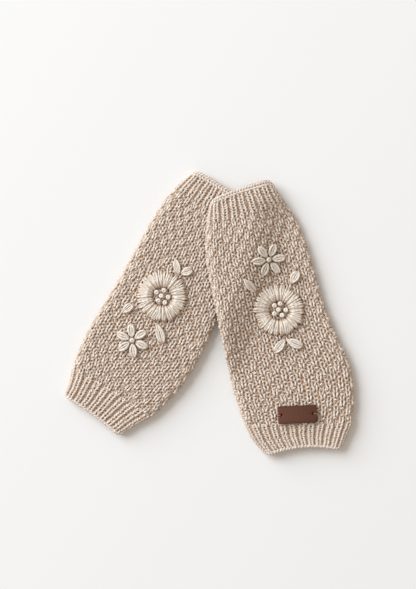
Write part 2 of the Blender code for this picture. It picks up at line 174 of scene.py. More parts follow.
# The cast-on and cast-off edges: cords of two strands round each end. Ups are how far in from the
# end each cord lies, and a second one is wound the other way, as in a chain.
Edge = namedtuple("Edge", "strand winding pitch depth ups")
FINGER_EDGE = Edge(0.00092, 0.00048, 0.0042, 0.00180, (0.0014, 0.0034))
WRIST_EDGE = Edge(0.00092, 0.00055, 0.0040, 0.00185, (0.0013,))
EDGE_ROUND = 0.62  # how long an end is taken to be round, as a share of the mitten's mean
EDGE_STEPS_A_TURN = 12
EDGE_SIDES = 8

# The embroidery, placed on the mittens as in the solids. The strands of its long stitches are three
# fibres that wind slowly round each other.
FIBRES = 3
RING_SIDES = 6  # round a fibre of the ring,
YARN_SIDES = 8  # and round any other yarn
STRAND_UNEVEN = (0.90, 1.08)  # how much a strand's size varies, as a factor
RING_INNER = 0.0076
RING_OUTER = 0.0203
RING_BUNDLES = 26
RING_STEPS = 18
RING_SECTION = [(0.00, 0.0), (0.02, 0.0011), (0.34, 0.0026), (0.86, 0.0017), (1.00, 0.0)]
RING_SHADE_FROM = 0.0020  # the height above the panel that counts as the top of the work, for the painted shade
RING_HIDDEN = 0.05  # the share of a stitch that is inside the hollow,
RING_ROOT_DIVE = 0.0018  # how far down that goes,
RING_RIM_DIVE = 0.0012  # and how far down its other end
RING_SCALLOP = (-0.0012, 0.0006)  # how far a bundle's end strays from the outer radius
RING_SHORT = 0.0008  # and how much further in its strands may end
BUNDLE_STRAY = 0.09  # how far it strays round the ring, in bundles
BUNDLE_LEAN = 0.05  # how far its root leans to one side, in radians
LANE_SPREAD = 0.026  # the angle between its two strands at the root, in radians,
LANE_WIDENS = 0.088  # and how much wider it gets further out
STRAND_STRAY = 0.010
STRAND_SINK = (-0.0001, 0.0004)
STRAND_WINDING = (1.5, 3.0)  # how far its fibres wind over its length, in radians
STRAND_SIZE = 0.00058
STRAND_GROWS = 0.00042
STRAND_TAPER = 0.30  # how much narrower a bundle and its strands get at the rim
RING_FIBRE_OFF = 0.52  # how far a fibre is from its strand's middle, as a share of the size,
RING_FIBRE_SIZE = 0.58  # and its own radius
PAD_SIDES = 64
PAD_LOW = -0.0004
PAD_SECTION = [
    (RING_INNER + 0.0002, PAD_LOW), (RING_INNER + 0.0010, 0.0006), (0.0120, 0.0015),
    (0.0165, 0.0010), (RING_OUTER - 0.0022, PAD_LOW), (0.0140, PAD_LOW),
]
# how deep the padding counts, which gives it the full painted shade
PAD_SHADE_DEPTH = 0.0020
KNOT_RADIUS = 0.0020
KNOT_HEIGHT = 0.0026
KNOT_YARN = KNOT_RADIUS * 0.47  # its yarn's radius
KNOT_LOW = KNOT_YARN * 0.6  # how high above the panel it starts
KNOT_WINDS = 2.1
KNOT_CLOSES = 0.12  # how much narrower the second wind is than the first
KNOT_TUCK = 0.0010  # how far its end dips into the hollow at the top
KNOT_TAPER = 0.25
KNOT_STEPS = 36
PETALS = 6
PETAL_ROOT = 0.0026
PETAL_TIP = 0.0128
PETAL_WIDTH = 0.0061

# The straight stitches of a petal or a leaf: their height, the strands, and how fast their yarn
# gets browner below their tops, which is painted shade. Each strand has how far to one side it
# bulges, its radius as a share of the whole width, and how far it is sunk.
Straight = namedtuple("Straight", "height strands deeper")
Strand = namedtuple("Strand", "aside size sink")
PETAL_STITCHES = Straight(0.0014, [
    Strand(-1.0, 0.170, 0.0), Strand(0.0, 0.135, 0.0003), Strand(1.0, 0.165, 0.0),
], 0.75)
LEAF_STITCHES = Straight(0.0014, [
    Strand(-1.0, 0.135, 0.0), Strand(-0.34, 0.115, 0.0002),
    Strand(0.34, 0.115, 0.0002), Strand(1.0, 0.135, 0.0),
], 0.95)
STRAIGHT_STEPS = 15
STRAIGHT_FULL = 1.15  # above 1 it is fullest past the middle,
STRAIGHT_BLUNT = (0.85, 0.45)  # blunter towards the tip,
STRAIGHT_ROUND = 0.4  # and its height is fuller still
STRAIGHT_THIN = 0.62  # the strands' size at the ends, as a share of that in the middle
STRAIGHT_THICKENS = 0.6
STRAIGHT_SLIDE = 0.03  # how far a strand's tip strays, as a share of its length,
STRAIGHT_SLIDES = (-0.06, 0.04)  # and within what limits
STRAIGHT_WINDING = 2.2
STRAIGHT_FIBRE_OFF = 0.34
STRAIGHT_FIBRE_SIZE = 0.72

# Where it lies in each mitten's own frame: the large flower's middle, the small one's with its turn,
# the knots from the large one's middle, and the leaves
Leaf = namedtuple("Leaf", "root_x root_y tip_x tip_y width")
LEFT_FLOWER = (0.0019, 0.1093)
LEFT_SMALL_FLOWER = (-0.0013, 0.0681, math.radians(5))
LEFT_KNOTS = [
    (-0.0052, 0.0007), (-0.0009, 0.0048), (-0.0007, 0.0001),
    (0.0045, 0.0019), (-0.0008, -0.0043), (0.0044, -0.0030),
]
LEFT_LEAVES = [
    Leaf(-0.0185, 0.0833, -0.0151, 0.0927, 0.0064),
    Leaf(0.0049, 0.1306, -0.0033, 0.1391, 0.0054),
    Leaf(0.0061, 0.1319, 0.0118, 0.1389, 0.0066),
    Leaf(0.0097, 0.0885, 0.0199, 0.0783, 0.0070),
]
RIGHT_FLOWER = (0.0071, 0.1137)
RIGHT_SMALL_FLOWER = (0.0086, 0.1538, math.radians(-5))
RIGHT_KNOTS = [
    (-0.0026, 0.0046), (0.0021, 0.0049), (-0.0003, 0.0008),
    (0.0052, -0.0009), (-0.0040, -0.0016), (0.0014, -0.0041),
]
RIGHT_LEAVES = [
    Leaf(-0.0138, 0.1435, -0.0075, 0.1324, 0.0060),
    Leaf(0.0211, 0.1320, 0.0286, 0.1398, 0.0070),
    Leaf(0.0062, 0.0905, -0.0034, 0.0834, 0.0066),
    Leaf(0.0078, 0.0900, 0.0178, 0.0821, 0.0070),
]

# The leather label
LABEL_PLACE = (0.0018, 0.0320)
LABEL_TURN = math.radians(-10.6)
LABEL_LENGTH = 0.0303
LABEL_WIDTH = 0.0137
LABEL_THICKNESS = 0.0014
LABEL_CORNER = 0.0009
LABEL_CORNER_PULL = 1.4  # how far the corners are pulled in, for what lies past their rounding
LABEL_SOFT = 0.0009  # how far in its soft edge reaches,
LABEL_EDGE_SHARE = 0.55  # and the share of the thickness that its edge has
LABEL_LINE_IN, LABEL_LINE_WIDE, LABEL_LINE_DEEP = 0.0012, 0.0003, 0.00010  # the pressed line
LABEL_HOLE = 0.0017
LABEL_HOLE_FROM_END = 0.0027
LABEL_HOLE_SOFT = 0.0004
LABEL_HOLE_SHARE = 0.95  # how deep a hole is, as a share of the thickness
LABEL_DIMPLE_WIDE, LABEL_DIMPLE_DEEP = 0.0018, 0.00022  # the leather pulled in round the holes
LABEL_DARK_EDGE = 0.0008  # how far in from the edge, and out from a hole, the leather is darker
LABEL_DARK_HOLE = 0.0009
LABEL_CELL = 0.00022
LABEL_THREAD = 0.00036
THREAD_STEPS = 17
# How far out from the label's end, and above its top, the thread runs
THREAD_PATH = [
    (-0.0022, -0.0009), (-0.0018, 0.0001), (-0.0006, 0.0001), (0.0003, -0.0003), (0.0005, -0.0016),
]

# The points of a mitten's grid, up it and round it, and how often the search for a point's place
# up the sloping courses is repeated
GRID_UPS = 260
GRID_TURNS = 320
UP_ROUNDS = 4


def along(table, ups, column):
    """A column of a table at heights between its rows, on a smooth curve through them."""
    at = np.array([row.up for row in table])
    values = np.array([getattr(row, column) for row in table])
    slopes = np.gradient(values, at)
    ups = np.asarray(ups, float)
    k = np.clip(np.searchsorted(at, ups) - 1, 0, len(at) - 2)
    step = at[k + 1] - at[k]
    t = np.clip((ups - at[k]) / step, 0.0, 1.0)
    return (
        (2 * t**3 - 3 * t**2 + 1) * values[k]
        + (t**3 - 2 * t**2 + t) * step * slopes[k]
        + (3 * t**2 - 2 * t**3) * values[k + 1]
        + (t**3 - t**2) * step * slopes[k + 1]
    )


def smooth_step(t):
    t = np.clip(t, 0.0, 1.0)
    return t * t * (3 - 2 * t)


def step_up(values, start, end):
    """0 up to start and 1 from end, with a smooth step between them."""
    return smooth_step((values - start) / (end - start))


def rounding(inward, reach):
    """0 at a side and 1 from reach inward, along a quarter of an ellipse."""
    left = 1 - np.clip(inward, 0.0, reach) / reach
    return np.sqrt(np.maximum(0.0, 1 - left * left))


def hump(distance, width):
    """1 at no distance, and less and less over about the width."""
    return np.exp(-((distance / width) ** 2))


def turn_matrix(angle):
    c, s = math.cos(angle), math.sin(angle)
    return np.array([[c, -s, 0], [s, c, 0], [0, 0, 1]])


def unit(vectors):
    return vectors / np.maximum(np.linalg.norm(vectors, axis=-1, keepdims=True), 1e-12)


class Mitten:
    """One flattened tube's outside, which everything on the mitten is placed by.

    Up runs from the wrist hem to the finger edge. Turn runs round the tube: 0 is the left side,
    0.5 the right one after the upper layer, and 1 the left again."""

    def __init__(self, side, courses, place, below=None):
        self.side = side
        self.courses = courses
        self.place = place
        self.below = below
        self.length = courses[-1].up
        self.turned = turn_matrix(place.turn)
        self.make_grid()

    def to_world(self, points):
        return points @ self.turned.T + np.array([self.place.x, self.place.y, 0.0])

    def from_world(self, points):
        return (points - np.array([self.place.x, self.place.y, 0.0])) @ self.turned

    def lift(self, x, y):
        """How far the cloth is lifted off the floor by the mitten below it."""
        if self.below is None:
            return np.zeros_like(x)
        lower = self.below
        there = lower.from_world(self.to_world(np.stack([x, y, np.zeros_like(x)], axis=-1)))
        ups = np.clip(there[..., 1], 0.0, lower.length)
        in_side = along(lower.courses, ups, "right") - there[..., 0]
        in_end = lower.length - there[..., 1]
        outside = (in_side < 0) & (in_end < 0)
        inside = np.where(outside, -np.hypot(in_side, in_end), np.minimum(in_side, in_end))
        slope = smooth_step((inside + DRAPE_RUN) / DRAPE_RUN)
        return slope * (along(lower.courses, ups, "height") + REST_GAP)

    def top(self, x, y):
        """The height of the upper layer's outside at points of the mitten's own frame."""
        x, y = np.asarray(x, float), np.asarray(y, float)
        ups = y
        for _ in range(UP_ROUNDS):
            inside = np.clip(ups, 0.0, self.length)
            left, right, left_end, right_end, arch, high = (
                along(self.courses, inside, c) for c in Course._fields[1:]
            )
            share = np.clip((x - left) / (right - left), 0, 1)
            across = 2 * share - 1
            ups = y - left_end - (right_end - left_end) * share - arch * (1 - across**2)
        rise = rounding((right - left) / 2 * (1 - np.abs(across)), SIDE_ROUND)
        return high / 2 * (1 + rise * (1 - CROWN * across**2)) + self.lift(x, y)

    def make_grid(self):
        """Points and outward directions of the outside, even along it all round each course."""
        ups = np.linspace(0.0, self.length, GRID_UPS)
        left, right, left_end, right_end, arch, high = (
            along(self.courses, ups, c)[:, None] for c in Course._fields[1:]
        )
        half = (right - left) / 2
        way = np.linspace(0, math.tau, 4 * GRID_TURNS + 1)[None, :]
        across = -np.cos(way)
        inward = half * (1 - np.abs(across))
        rise = rounding(inward, SIDE_ROUND)
        top = high / 2 * (1 + rise * (1 - CROWN * across**2))
        z = np.where(np.sin(way) >= 0, top, high / 2 * (1 - rise))
        share = (across + 1) / 2
        x = left + (right - left) * share
        y = ups[:, None] + left_end + (right_end - left_end) * share + arch * (1 - across**2)
        corner = 1 - rounding(inward, CORNER_REACH)
        finger = smooth_step((ups - self.length) / FINGER_CUFF + 1)[:, None]
        wrist = smooth_step(1 - ups / WRIST_CUFF)[:, None]
        y = y + corner * (WRIST_CORNER * wrist - FINGER_CORNER * finger)
        steps = np.hypot(np.diff(x, axis=1), np.diff(z, axis=1))
        run = np.concatenate([np.zeros((GRID_UPS, 1)), np.cumsum(steps, axis=1)], axis=1)
        middle = 2 * GRID_TURNS
        even = np.linspace(0, 1, GRID_TURNS + 1)
        points = np.zeros((GRID_UPS, GRID_TURNS + 1, 3))
        for k in range(GRID_UPS):
            upper = run[k, : middle + 1] / run[k, middle] / 2
            under = (run[k, middle:] - run[k, middle]) / (run[k, -1] - run[k, middle]) / 2 + 0.5
            at = np.concatenate([upper, under[1:]])
            for axis, values in enumerate((x[k], y[k], z[k])):
                points[k, :, axis] = np.interp(even, at, values)
        points[..., 2] += self.lift(points[..., 0], points[..., 1])
        around = np.roll(points[:, :-1], -1, axis=1) - np.roll(points[:, :-1], 1, axis=1)
        around = np.concatenate([around, around[:, :1]], axis=1)
        outward = unit(np.cross(around, np.gradient(points, axis=0)))
        self.points = self.to_world(points)
        self.outward = outward @ self.turned.T
        self.upward = unit(np.gradient(self.points, axis=0))
        self.round_length = float(np.mean(run[:, -1]))

    def at(self, ups, turns):
        """Points of the outside and outward directions. Beyond an end they go on straight."""
        ups = np.asarray(ups, float)
        row = np.clip(ups / self.length, 0, 1) * (GRID_UPS - 1.001)
        column = (np.asarray(turns) % 1.0) * GRID_TURNS
        r, c = row.astype(int), np.minimum(column.astype(int), GRID_TURNS - 1)
        fr, fc = (row - r)[..., None], (column - c)[..., None]
        found = []
        for grid in (self.points, self.outward, self.upward):
            low = grid[r, c] * (1 - fc) + grid[r, c + 1] * fc
            high = grid[r + 1, c] * (1 - fc) + grid[r + 1, c + 1] * fc
            found.append(low * (1 - fr) + high * fr)
        beyond = ups - np.clip(ups, 0, self.length)
        return found[0] + found[2] * beyond[..., None], unit(found[1])


def store(mesh, name, values):
    """A value for each point, which a material reads by name."""
    held = mesh.attributes.new(name, "FLOAT", "POINT")
    held.data.foreach_set("value", np.ascontiguousarray(values, np.float32))


def make_piece(name, points, faces, finish, uvs=None, deep=None):
    """An object of its own from points and faces, smooth, with its material, and riding the body.

    Faces is an array, or a list of arrays that each have their own number of corners. Shade depth is
    how far each point lies below the top of the work, which sets how much painted shade its colour gets."""
    groups = faces if isinstance(faces, list) else [faces]
    flat = np.concatenate([group.ravel() for group in groups]).astype(np.int32)
    sizes = np.concatenate([np.full(len(group), group.shape[1]) for group in groups])
    mesh = bpy.data.meshes.new(name)
    mesh.vertices.add(len(points))
    mesh.vertices.foreach_set("co", np.ascontiguousarray(points, np.float32).ravel())
    mesh.loops.add(len(flat))
    mesh.loops.foreach_set("vertex_index", flat)
    mesh.polygons.add(len(sizes))
    starts = np.concatenate([[0], np.cumsum(sizes)[:-1]])
    mesh.polygons.foreach_set("loop_start", starts.astype(np.int32))
    mesh.update(calc_edges=True)
    if uvs is not None:
        layer = mesh.uv_layers.new(name="yarn")
        layer.data.foreach_set("uv", np.ascontiguousarray(uvs[flat], np.float32).ravel())
    if deep is not None:
        # each point's share of painted shade, from its depth
        store(mesh, "deep", np.interp(deep, DEPTHS, SHADE_SHARES))
    mesh.shade_smooth()
    mesh.materials.append(finish)
    made = bpy.data.objects.new(name, mesh)
    bpy.context.scene.collection.objects.link(made)
    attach(made, "root")
    return made


def tubes(paths, outs, radii, depths, sides):
    """Round capped tubes along paths: their points, faces, yarn coordinates and depths.

    Paths and outs are (tubes, steps, 3), and radii and depths are (tubes, steps)."""
    count, steps = paths.shape[:2]
    tangents = unit(np.gradient(paths, axis=1))
    first = unit(outs - (outs * tangents).sum(-1, keepdims=True) * tangents)
    second = np.cross(tangents, first)
    turn = np.arange(sides) * math.tau / sides + math.pi
    ring = first[:, :, None] * np.cos(turn)[:, None] + second[:, :, None] * np.sin(turn)[:, None]
    points = paths[:, :, None] + ring * radii[:, :, None, None]
    lengths = np.linalg.norm(np.diff(paths, axis=1), axis=-1)
    uvs = np.zeros((count, steps, sides, 2))
    uvs[:, 1:, :, 0] = np.cumsum(lengths, axis=1)[:, :, None]
    uvs[..., 1] = np.arange(sides) / sides
    index = np.arange(count * steps * sides).reshape(count, steps, sides)
    near, far = index[:, :-1], index[:, 1:]
    quads = np.stack([near, np.roll(near, -1, axis=2), np.roll(far, -1, axis=2), far], axis=-1)
    caps = np.concatenate([index[:, 0, ::-1], index[:, -1]])
    deep = depths[:, :, None] - (ring * outs[:, :, None]).sum(-1) * radii[:, :, None]
    return points.reshape(-1, 3), quads.reshape(-1, 4), caps, uvs.reshape(-1, 2), deep.ravel()


def tube_piece(name, strands, sides, finish):
    """One piece of many tubes. Each of the strands is a set of equally long paths for tubes()."""
    points, quads, caps, uvs, deep, start = [], [], [], [], [], 0
    for strand in strands:
        made = tubes(*strand, sides)
        points.append(made[0])
        quads.append(made[1] + start)
        caps.append(made[2] + start)
        uvs.append(made[3])
        deep.append(made[4])
        start += len(made[0])
    faces = [np.concatenate(quads), np.concatenate(caps)]
    points, uvs, deep = (np.concatenate(group) for group in (points, uvs, deep))
    return make_piece(name, points, faces, finish, uvs, deep)


def curve(controls, at):
    """A smooth curve through controls, at places counted in controls."""
    controls = np.asarray(controls, float)
    k = np.clip(at.astype(int), 0, len(controls) - 2)
    f = (at - k)[:, None]
    p = [controls[np.clip(k + shift, 0, len(controls) - 1)] for shift in (-1, 0, 1, 2)]
    return 0.5 * (
        2 * p[1] + (p[2] - p[0]) * f
        + (2 * p[0] - 5 * p[1] + 4 * p[2] - p[3]) * f**2
        + (3 * p[1] - p[0] - 3 * p[2] + p[3]) * f**3
    )


def loop_path(bends, steps):
    """One loop of a row's yarn from sinker to sinker, as the columns of its bends."""
    loop = np.array(bends)
    chain = [loop + np.array([shift, 0, 0, 0, 0]) for shift in (-1, 0, 1)]
    return curve(np.concatenate(chain), np.linspace(len(loop), 2 * len(loop), steps, endpoint=False))


def moss(row, stitch):
    """Double moss stitch, in which neighbouring columns are two rows apart."""
    phase = (row + 2 * (stitch % 2)) % 4
    return np.array(MOSS_LEGS)[phase], np.array(MOSS_HEADS)[phase]


def rib(row, stitch):
    """One by one rib, whose purl columns' heads show as beads."""
    legs = np.where(stitch % 2 == 0, 1.0, -1.0)
    return legs, np.where(legs > 0, *RIB_HEADS)


def knit_rows(mitten, ups, stitches, pattern, layer, rng):
    """The yarn of each row, over the upper or the lower layer, as paths for tubes()."""
    ribbed = pattern is rib
    steps = FRONT_STEPS if layer == "upper" else BACK_STEPS
    loop = loop_path(RIB_LOOP if ribbed else MOSS_LOOP, steps)
    rows, half = len(ups) - 1, stitches // 2
    first = 0 if layer == "upper" else half
    r, s, k = np.meshgrid(
        np.arange(rows), np.arange(first, first + half), np.arange(steps), indexing="ij"
    )
    legs, head = pattern(r, s)
    base = loop[:, 0][k]
    inner = 1 - 2 * np.abs(base)  # 0 at a stitch's sides and 1 in its middle
    width, centre, sunk = 1.0, s + 0.5, np.zeros(s.shape)
    front, back = FRONT_DEPTH, BACK_DEPTH
    if ribbed:
        width = np.where(legs > 0, 2 * RIB_KNIT_SHARE, 2 * (1 - RIB_KNIT_SHARE))
        centre = s - s % 2 + np.where(legs > 0, RIB_KNIT_SHARE, 1 + RIB_KNIT_SHARE)
        sunk = np.where(legs > 0, 0.0, np.minimum(1.0, PURL_SINKS * inner))
        front = FRONT_DEPTH + (PURL_FRONT_DEPTH - FRONT_DEPTH) * sunk
        back = BACK_DEPTH + (PURL_BACK_DEPTH - BACK_DEPTH) * sunk
    stray = rng.normal(0, UNEVEN, (2, rows, half, 1))
    across = centre + base * width + stray[0] * inner
    up = loop[:, 1][k]
    heights = ups[:-1][r] + (up + stray[1]) * np.diff(ups)[r]
    side = legs * loop[:, 2][k] + head * loop[:, 3][k] + loop[:, 4][k]
    shape = (rows, half * steps)
    depth = ((front + back) / 2 - side * (back - front) / 2).reshape(shape)
    points, outward = mitten.at(heights.reshape(shape), across.reshape(shape) / stitches)
    thick = YARN
    if ribbed:
        thick = (RIB_YARN + (PURL_YARN - RIB_YARN) * sunk).reshape(shape)
    most = 2 * YARN_UNEVEN
    radii = thick * (1 + np.clip(rng.normal(0, YARN_UNEVEN, shape), -most, most))
    # painted shade: browner with depth, on the tube's sides, in the cuffs, and most in the ribs' grooves
    shade = depth + SIDE_PAINTED_SHADE * (1 - np.abs(outward[..., 2])) + GROOVE_PAINTED_SHADE * sunk.reshape(shape)
    shade += RIB_PAINTED_SHADE if ribbed else 0.0
    return points - outward * depth[..., None], outward, radii, shade


def knit_mitten(mitten, knit, finish):
    """The stitches of a mitten, a piece for each layer of the body and of both cuffs."""
    rng = np.random.default_rng(SEED)
    low, high = WRIST_CUFF, mitten.length - FINGER_CUFF
    last = mitten.length - LAST_ROW_IN
    parts = [
        ("wrist_cuff", FIRST_ROW_IN, low, knit.wrist_rows, knit.wrist_stitches, rib),
        ("body", low, high, knit.body_rows, knit.body_stitches, moss),
        ("finger_cuff", high, last, knit.finger_rows, knit.finger_stitches, rib),
    ]
    pieces = []
    for part, start, end, rows, stitches, pattern in parts:
        ups = np.linspace(start, end, rows + 1)
        for layer, sides in (("upper", FRONT_SIDES), ("lower", BACK_SIDES)):
            strands = knit_rows(mitten, ups, stitches, pattern, layer, rng)
            name = f"{mitten.side}_{part}_{layer}_stitches"
            pieces.append(tube_piece(name, [strands], sides, finish))
    return pieces


def edge_cords(mitten, name, edge, at_top, finish):
    """The cords all round one end, which are how the edge is cast on or off."""
    turns_round = int(round(mitten.round_length * EDGE_ROUND / edge.pitch))
    steps = turns_round * EDGE_STEPS_A_TURN + 1
    turn = np.linspace(0, 1, steps)
    radii = np.full((1, steps), edge.strand)
    strands = []
    for cord, inward in enumerate(edge.ups):
        way = 1 if cord % 2 == 0 else -1
        middle = mitten.length - inward if at_top else inward
        for strand in range(2):
            wind = way * (math.tau * turns_round * turn + math.pi * strand)
            outside, outward = mitten.at(middle + edge.winding * np.cos(wind), turn)
            depth = edge.depth + edge.winding * np.sin(wind)
            path = outside - outward * depth[:, None]
            # painted shade: browner with depth and on the tube's sides
            shade = depth + SIDE_PAINTED_SHADE * (1 - np.abs(outward[:, 2]))
            strands.append((path[None], outward[None], radii, shade[None]))
    return tube_piece(name, strands, EDGE_SIDES, finish)


def backing(mitten, finish):
    """The inner side of the knit: a thin tube just under the stitches, whose brown is painted shade that
    shows through the holes between them.
    """
    ups = np.linspace(CLOTH_FROM_WRIST, mitten.length - CLOTH_FROM_FINGER, CLOTH_UPS)
    turns = np.linspace(0, 1, CLOTH_TURNS, endpoint=False)
    u, t = np.meshgrid(ups, turns, indexing="ij")
    outside, outward = mitten.at(u, t)
    in_cuff = (u < WRIST_CUFF) | (u > mitten.length - FINGER_CUFF)
    depth = np.where(in_cuff, CUFF_CLOTH_DEPTH, BODY_CLOTH_DEPTH)[..., None]
    inside = depth + CLOTH_THICKNESS
    rings = np.concatenate([outside - outward * depth, (outside - outward * inside)[::-1]])
    index = np.arange(rings.shape[0] * rings.shape[1]).reshape(rings.shape[:2])
    far = np.roll(index, -1, axis=0)
    quads = np.stack([index, np.roll(index, -1, axis=1), np.roll(far, -1, axis=1), far], axis=-1)
    points, faces = rings.reshape(-1, 3), quads.reshape(-1, 4)
    piece = make_piece(mitten.side + "_cloth", points, faces, finish)
    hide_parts(*(f"{mitten.side}_{part}" for part in ("body", "wrist_cuff", "finger_cuff")))
    return piece


def on_panel(mitten, local, heights):
    """World points above the upper layer, for points of the mitten's own frame."""
    z = mitten.top(local[..., 0], local[..., 1]) + SEAM_GAP + heights
    return mitten.to_world(np.concatenate([local, z[..., None]], axis=-1))


def fibres(wound, off):
    """How far aside and up from a strand's middle each of its fibres lies, along the strand."""
    for k in range(FIBRES):
        around = wound + math.tau * k / FIBRES
        yield off * np.cos(around), off * np.sin(around)


def flower_ring(mitten, centre, finish, rng):
    """Long satin stitches from the hollow in the middle to a scalloped rim.

    They lie in bundles of two strands. Share runs along a stitch, from inside the hollow, where it
    is below 0, to 1 at the rim."""
    share = np.linspace(-RING_HIDDEN, 1.0, RING_STEPS)
    shares, heights = zip(*RING_SECTION)
    paths, radii, depths = [], [], []
    for bundle in range(RING_BUNDLES):
        outer = RING_OUTER + rng.uniform(*RING_SCALLOP)
        middle = math.tau * (bundle + rng.normal(0, BUNDLE_STRAY)) / RING_BUNDLES
        lean = rng.normal(0, BUNDLE_LEAN)
        for lane in (-0.5, 0.5):
            spread = LANE_SPREAD + LANE_WIDENS * step_up(share, 0, 2 / 3)
            spread = spread * (1 - STRAND_TAPER * step_up(share, 3 / 4, 1))
            turn = middle + lane * spread + lean * (1 - share) + rng.normal(0, STRAND_STRAY)
            end = outer - rng.uniform(0.0, RING_SHORT)
            reach = RING_INNER + (end - RING_INNER) * share
            sink = rng.uniform(*STRAND_SINK)
            wound = rng.uniform(0, math.tau) + share * rng.uniform(*STRAND_WINDING)
            size = STRAND_SIZE + STRAND_GROWS * step_up(share, 0, 5 / 6)
            size = size * (1 - STRAND_TAPER * step_up(share, 5 / 6, 1)) * rng.uniform(*STRAND_UNEVEN)
            height = np.interp(share, shares, heights) - size - sink
            height -= np.where(share < 0, RING_ROOT_DIVE, 0.0)
            height -= RING_RIM_DIVE * step_up(share, 11 / 12, 1)
            for aside, up in fibres(wound, size * RING_FIBRE_OFF):
                angle = turn + aside / reach
                local = np.stack([np.cos(angle), np.sin(angle)], axis=-1) * reach[:, None] + centre
                paths.append(on_panel(mitten, local, height + up))
                radii.append(size * RING_FIBRE_SIZE)
                depths.append(RING_SHADE_FROM - height - up)
    strands = stack_strands(paths, radii, depths)
    name = mitten.side + "_flower_ring_stitches"
    made = tube_piece(name, [strands], RING_SIDES, finish)
    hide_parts(mitten.side + "_flower_ring")


def flower_pad(mitten, centre, finish):
    """The padding under the long stitches, which shows in the gaps between them in the cream yarn's
    painted shade.
    """
    turn = np.arange(PAD_SIDES) * math.tau / PAD_SIDES
    rings = []
    for radius, height in PAD_SECTION:
        local = np.stack([np.cos(turn), np.sin(turn)], axis=-1) * radius + centre
        rings.append(on_panel(mitten, local, np.full(PAD_SIDES, height)))
    index = np.arange(len(PAD_SECTION) * PAD_SIDES).reshape(len(PAD_SECTION), PAD_SIDES)
    far = np.roll(index, -1, axis=0)
    quads = np.stack([index, far, np.roll(far, -1, axis=1), np.roll(index, -1, axis=1)], axis=-1)
    points, faces, deep = np.concatenate(rings), quads.reshape(-1, 4), np.full(index.size, PAD_SHADE_DEPTH)
    make_piece(mitten.side + "_flower_pad", points, faces, finish, None, deep)


def stack_strands(paths, radii, depths):
    """Paths of equal length, one for tubes() each, with their outward directions straight up."""
    paths = np.array(paths)
    outs = np.zeros_like(paths)
    outs[..., 2] = 1.0
    return paths, outs, np.array(radii), np.array(depths)


def knot_path(mitten, x, y, rng):
    """A French knot: yarn wound twice round, with its end tucked into a small hollow at the top."""
    t = np.linspace(0, 1, KNOT_STEPS)
    ending = step_up(t, 0.9, 1)
    turn = rng.uniform(0, math.tau) + math.tau * KNOT_WINDS * t
    reach = (KNOT_RADIUS - KNOT_YARN) * (1 - KNOT_CLOSES * step_up(t, 0.5, 1))
    local = np.stack([x + reach * np.cos(turn), y + reach * np.sin(turn)], axis=-1)
    climb = KNOT_HEIGHT - KNOT_YARN - KNOT_LOW
    height = KNOT_LOW + climb * step_up(t, 0, 5 / 6) - KNOT_TUCK * ending
    radii = KNOT_YARN * (1 - KNOT_TAPER * ending)
    return stack_strands([on_panel(mitten, local, height)], [radii], [KNOT_HEIGHT - height])


def knots(mitten, name, places, finish, rng, stood_for):
    """One piece of French knots, which stands for some nodes."""
    strands = [knot_path(mitten, x, y, rng) for x, y in places]
    made = tube_piece(name, strands, YARN_SIDES, finish)
    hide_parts(*stood_for)
    return made


def long_stitches(mitten, root, tip, width, stitches, rng):
    """Straight stitches that bulge apart and meet at the root and the tip."""
    share = np.linspace(0, 1, STRAIGHT_STEPS)
    root, tip = np.array(root), np.array(tip)
    way = tip - root
    aside = np.array([-way[1], way[0]]) / np.hypot(*way)
    bow = np.sin(math.pi * np.clip(share, 0.001, 0.999) ** STRAIGHT_FULL)
    blunt = bow ** (STRAIGHT_BLUNT[0] - STRAIGHT_BLUNT[1] * share)
    thin = STRAIGHT_THIN + (1 - STRAIGHT_THIN) * bow**STRAIGHT_THICKENS
    paths, radii, depths = [], [], []
    for strand in stitches.strands:
        bulge = blunt * strand.aside * (width / 2 - width * strand.size)
        slide = np.clip(rng.normal(0, STRAIGHT_SLIDE), *STRAIGHT_SLIDES)
        size = width * strand.size * thin * rng.uniform(*STRAND_UNEVEN)
        height = stitches.height * bow**STRAIGHT_ROUND - size - strand.sink
        wound = rng.uniform(0, math.tau) + share * STRAIGHT_WINDING
        for off, up in fibres(wound, size * STRAIGHT_FIBRE_OFF):
            local = root + way * (share * (1 + slide))[:, None] + aside * (bulge + off)[:, None]
            paths.append(on_panel(mitten, local, height + up))
            radii.append(size * STRAIGHT_FIBRE_SIZE)
            depths.append((stitches.height - height - up) * stitches.deeper)
    return stack_strands(paths, radii, depths)


def small_flower(mitten, place, finish, rng):
    """Petals of straight stitches round a single knot."""
    x, y, turn = place
    for k in range(PETALS):
        way = turn + math.tau * k / PETALS
        ends = [(x + r * math.cos(way), y + r * math.sin(way)) for r in (PETAL_ROOT, PETAL_TIP)]
        strands = long_stitches(mitten, *ends, PETAL_WIDTH, PETAL_STITCHES, rng)
        name = f"{mitten.side}_petal_{k + 1}"
        made = tube_piece(name + "_stitches", [strands], YARN_SIDES, finish)
        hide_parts(name)
    node = mitten.side + "_petal_knot"
    knots(mitten, node + "_yarn", [(x, y)], finish, rng, [node])


def embroider(mitten, flower, knot_places, small, leaves, finish):
    """All the embroidery of one mitten."""
    rng = np.random.default_rng(SEED)
    flower_pad(mitten, np.array(flower), finish)
    flower_ring(mitten, np.array(flower), finish, rng)
    places = [(flower[0] + x, flower[1] + y) for x, y in knot_places]
    nodes = [f"{mitten.side}_flower_knot_{k + 1}" for k in range(len(places))]
    knots(mitten, mitten.side + "_flower_knots", places, finish, rng, nodes)
    small_flower(mitten, small, finish, rng)
    for k, leaf in enumerate(leaves):
        ends = (leaf.root_x, leaf.root_y), (leaf.tip_x, leaf.tip_y)
        strands = long_stitches(mitten, *ends, leaf.width, LEAF_STITCHES, rng)
        node = f"{mitten.side}_leaf_{k + 1}"
        made = tube_piece(node + "_stitches", [strands], YARN_SIDES, finish)
        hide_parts(node)


